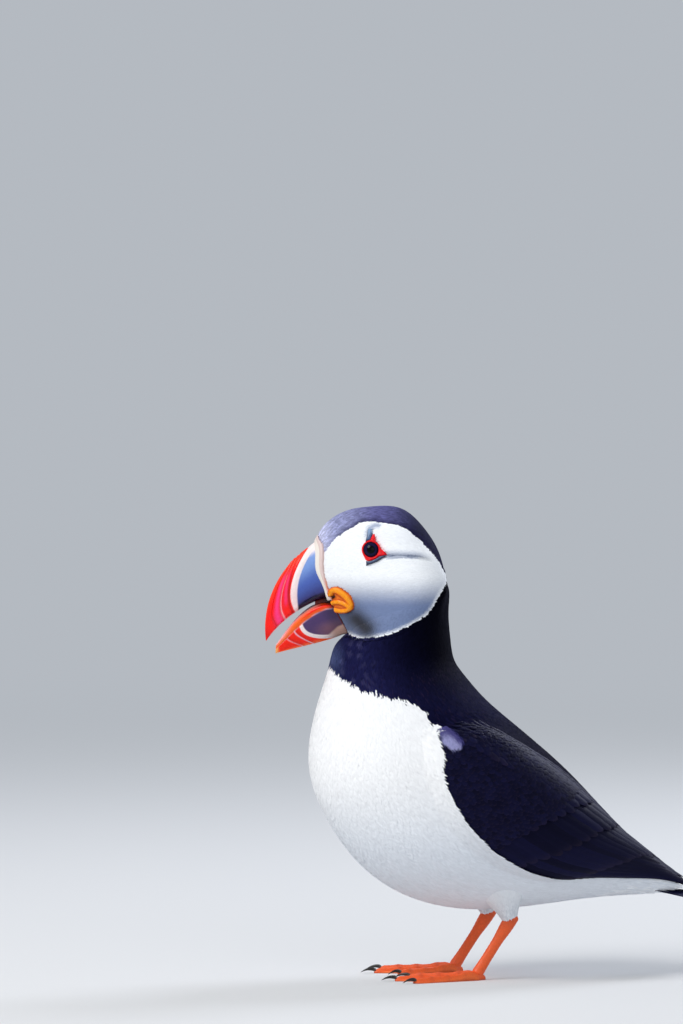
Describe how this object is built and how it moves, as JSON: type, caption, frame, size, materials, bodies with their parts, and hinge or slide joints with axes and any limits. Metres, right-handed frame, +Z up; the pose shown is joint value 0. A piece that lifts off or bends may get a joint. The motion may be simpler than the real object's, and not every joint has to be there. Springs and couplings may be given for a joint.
{
  "type": "atlantic puffin",
  "caption": "Life-size Atlantic puffin standing upright on webbed feet, head turned to its right, bill slightly open, wings folded.",
  "frame": {"origin": "on the floor under the middle of the whole bird's box", "axes": "+Z up from the floor; the body faces -Y; the bird's left side is +X"},
  "size_m": [0.0958, 0.1903, 0.2003],
  "materials": {
    "black_plumage": "soft, faintly glossy feather",
    "white_plumage": "soft matt feather",
    "red_horn": "satin ridged horn",
    "cream_flesh": "fine-grained skin",
    "orange_flesh": "wrinkled moist skin",
    "blue_horn": "satin horn",
    "red_lid": "bare skin",
    "eye": "wet gloss",
    "orange_leg": "scaly skin, satin",
    "claw": "satin horn"
  },
  "bodies": {
    "root": {"bill_cere": "cream_flesh", "bill_lower": "red_horn", "bill_upper": "red_horn", "brow_plate_left": "blue_horn", "brow_plate_right": "blue_horn", "claw_left_inner": "claw", "claw_left_middle": "claw", "claw_left_outer": "claw", "claw_right_inner": "claw", "claw_right_middle": "claw", "claw_right_outer": "claw", "eye_left": "eye", "eye_right": "eye", "eyelid_left": "red_lid", "eyelid_right": "red_lid", "foot_left": "orange_leg", "foot_right": "orange_leg", "head": "white_plumage", "neck": "black_plumage", "rosette_left": "orange_flesh", "rosette_right": "orange_flesh", "tail": "black_plumage", "tarsus_left": "orange_leg", "tarsus_right": "orange_leg", "thigh_left": "white_plumage", "thigh_right": "white_plumage", "trunk": "white_plumage", "under_eye_plate_left": "blue_horn", "under_eye_plate_right": "blue_horn", "wing_left": "black_plumage", "wing_right": "black_plumage"}
  },
  "joints": []
}
